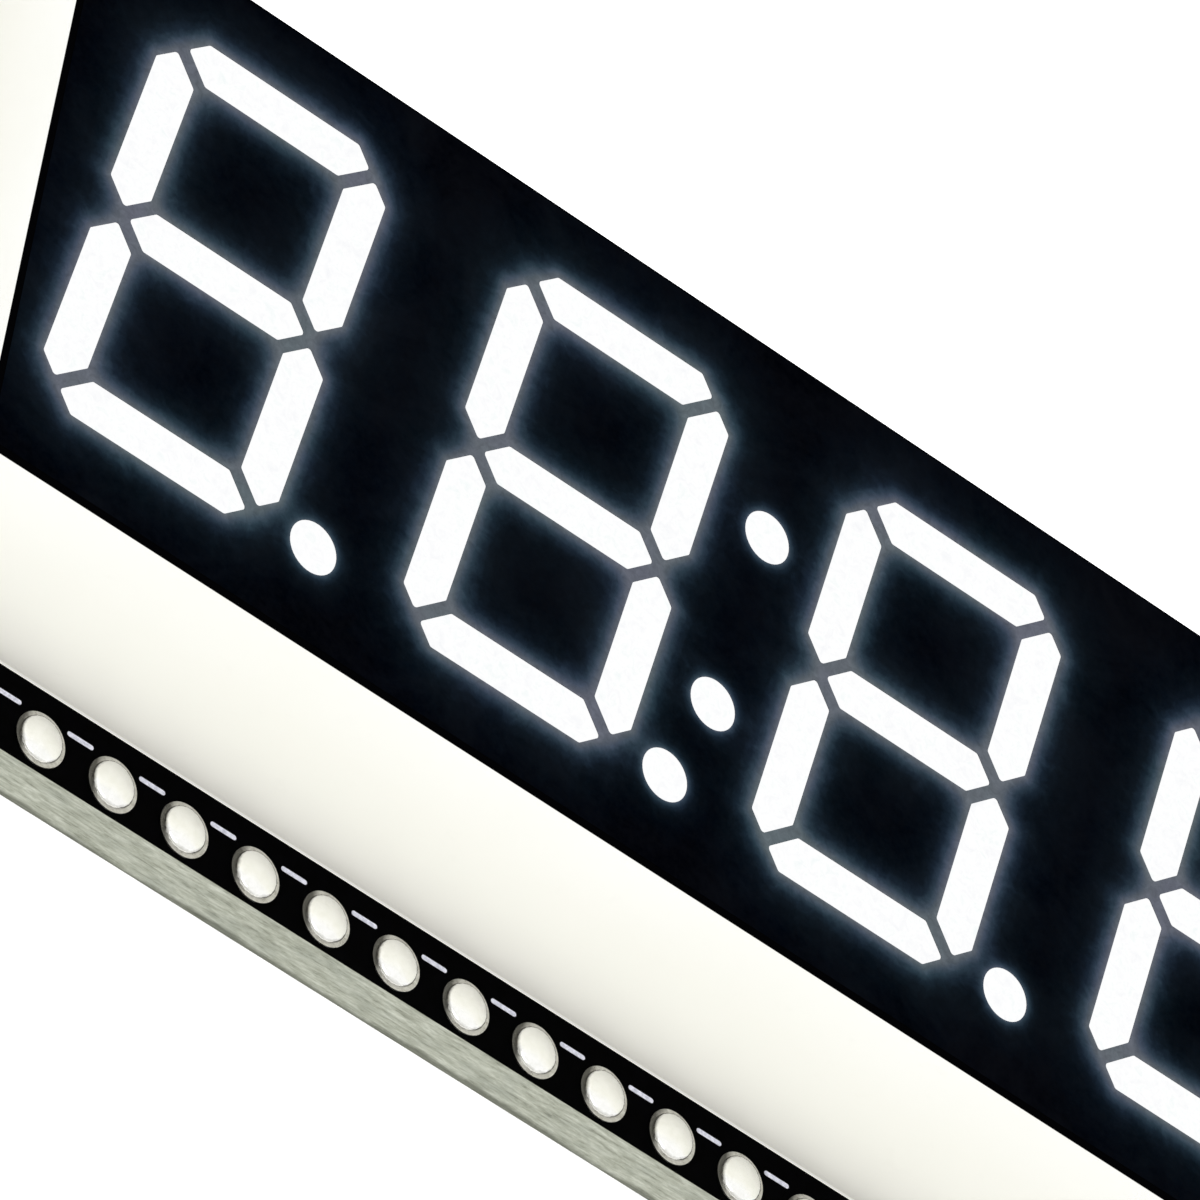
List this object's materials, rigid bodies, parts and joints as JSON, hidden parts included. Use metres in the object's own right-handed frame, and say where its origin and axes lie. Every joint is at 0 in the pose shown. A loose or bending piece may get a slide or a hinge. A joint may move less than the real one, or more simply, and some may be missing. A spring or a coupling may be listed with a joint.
{
  "type": "seven segment display module",
  "caption": "Slim block of slanted seven segment digits with decimal points and a colon, soldered flat on a black carrier board with a row of wiring pads along its lower edge.",
  "frame": {"origin": "centre of the display on the plane of the contact pins' tips, which is the bottom centre of the bounding box", "axes": "+X along the row of digits from left to right, +Y up a digit, +Z out of the lit face"},
  "size_m": [0.0534, 0.0242, 0.0099],
  "materials": {
    "white_moulding": "satin white moulded plastic, the face printed matte black round the lit segments",
    "clear_resin": "milky clear resin, lit white",
    "light_board": "green solder mask over glass fibre laminate",
    "phosphor_chip": "yellow phosphor over a small chip",
    "tinned_pin": "bright tinned wire",
    "black_board": "black solder mask over glass fibre laminate, sawn grey-green edges",
    "tinned_copper": "tinned copper plating",
    "solder": "smooth bright solder"
  },
  "bodies": {
    "root": {"reflector_housing": "white_moulding", "potting_resin": "clear_resin", "led_board": "light_board", "led_chips_digit_1": "phosphor_chip", "led_chips_digit_2": "phosphor_chip", "led_chips_digit_3": "phosphor_chip", "led_chips_digit_4": "phosphor_chip", "led_chips_colon": "phosphor_chip", "contact_pin_01": "tinned_pin", "contact_pin_02": "tinned_pin", "contact_pin_03": "tinned_pin", "contact_pin_04": "tinned_pin", "contact_pin_05": "tinned_pin", "contact_pin_06": "tinned_pin", "contact_pin_07": "tinned_pin", "contact_pin_08": "tinned_pin", "contact_pin_09": "tinned_pin", "contact_pin_10": "tinned_pin", "contact_pin_11": "tinned_pin", "contact_pin_12": "tinned_pin", "contact_pin_13": "tinned_pin", "contact_pin_14": "tinned_pin", "carrier_board": "black_board", "contact_hole_linings": "tinned_copper", "contact_joints": "solder", "edge_pad_01": "tinned_copper", "edge_solder_01": "solder", "edge_pad_02": "tinned_copper", "edge_solder_02": "solder", "edge_pad_03": "tinned_copper", "edge_solder_03": "solder", "edge_pad_04": "tinned_copper", "edge_solder_04": "solder", "edge_pad_05": "tinned_copper", "edge_solder_05": "solder", "edge_pad_06": "tinned_copper", "edge_solder_06": "solder", "edge_pad_07": "tinned_copper", "edge_solder_07": "solder", "edge_pad_08": "tinned_copper", "edge_solder_08": "solder", "edge_pad_09": "tinned_copper", "edge_solder_09": "solder", "edge_pad_10": "tinned_copper", "edge_solder_10": "solder", "edge_pad_11": "tinned_copper", "edge_solder_11": "solder", "edge_pad_12": "tinned_copper", "edge_solder_12": "solder", "edge_pad_13": "tinned_copper", "edge_solder_13": "solder", "edge_pad_14": "tinned_copper", "edge_solder_14": "solder", "edge_pad_15": "tinned_copper", "edge_solder_15": "solder", "edge_pad_16": "tinned_copper", "edge_solder_16": "solder"}
  },
  "joints": []
}
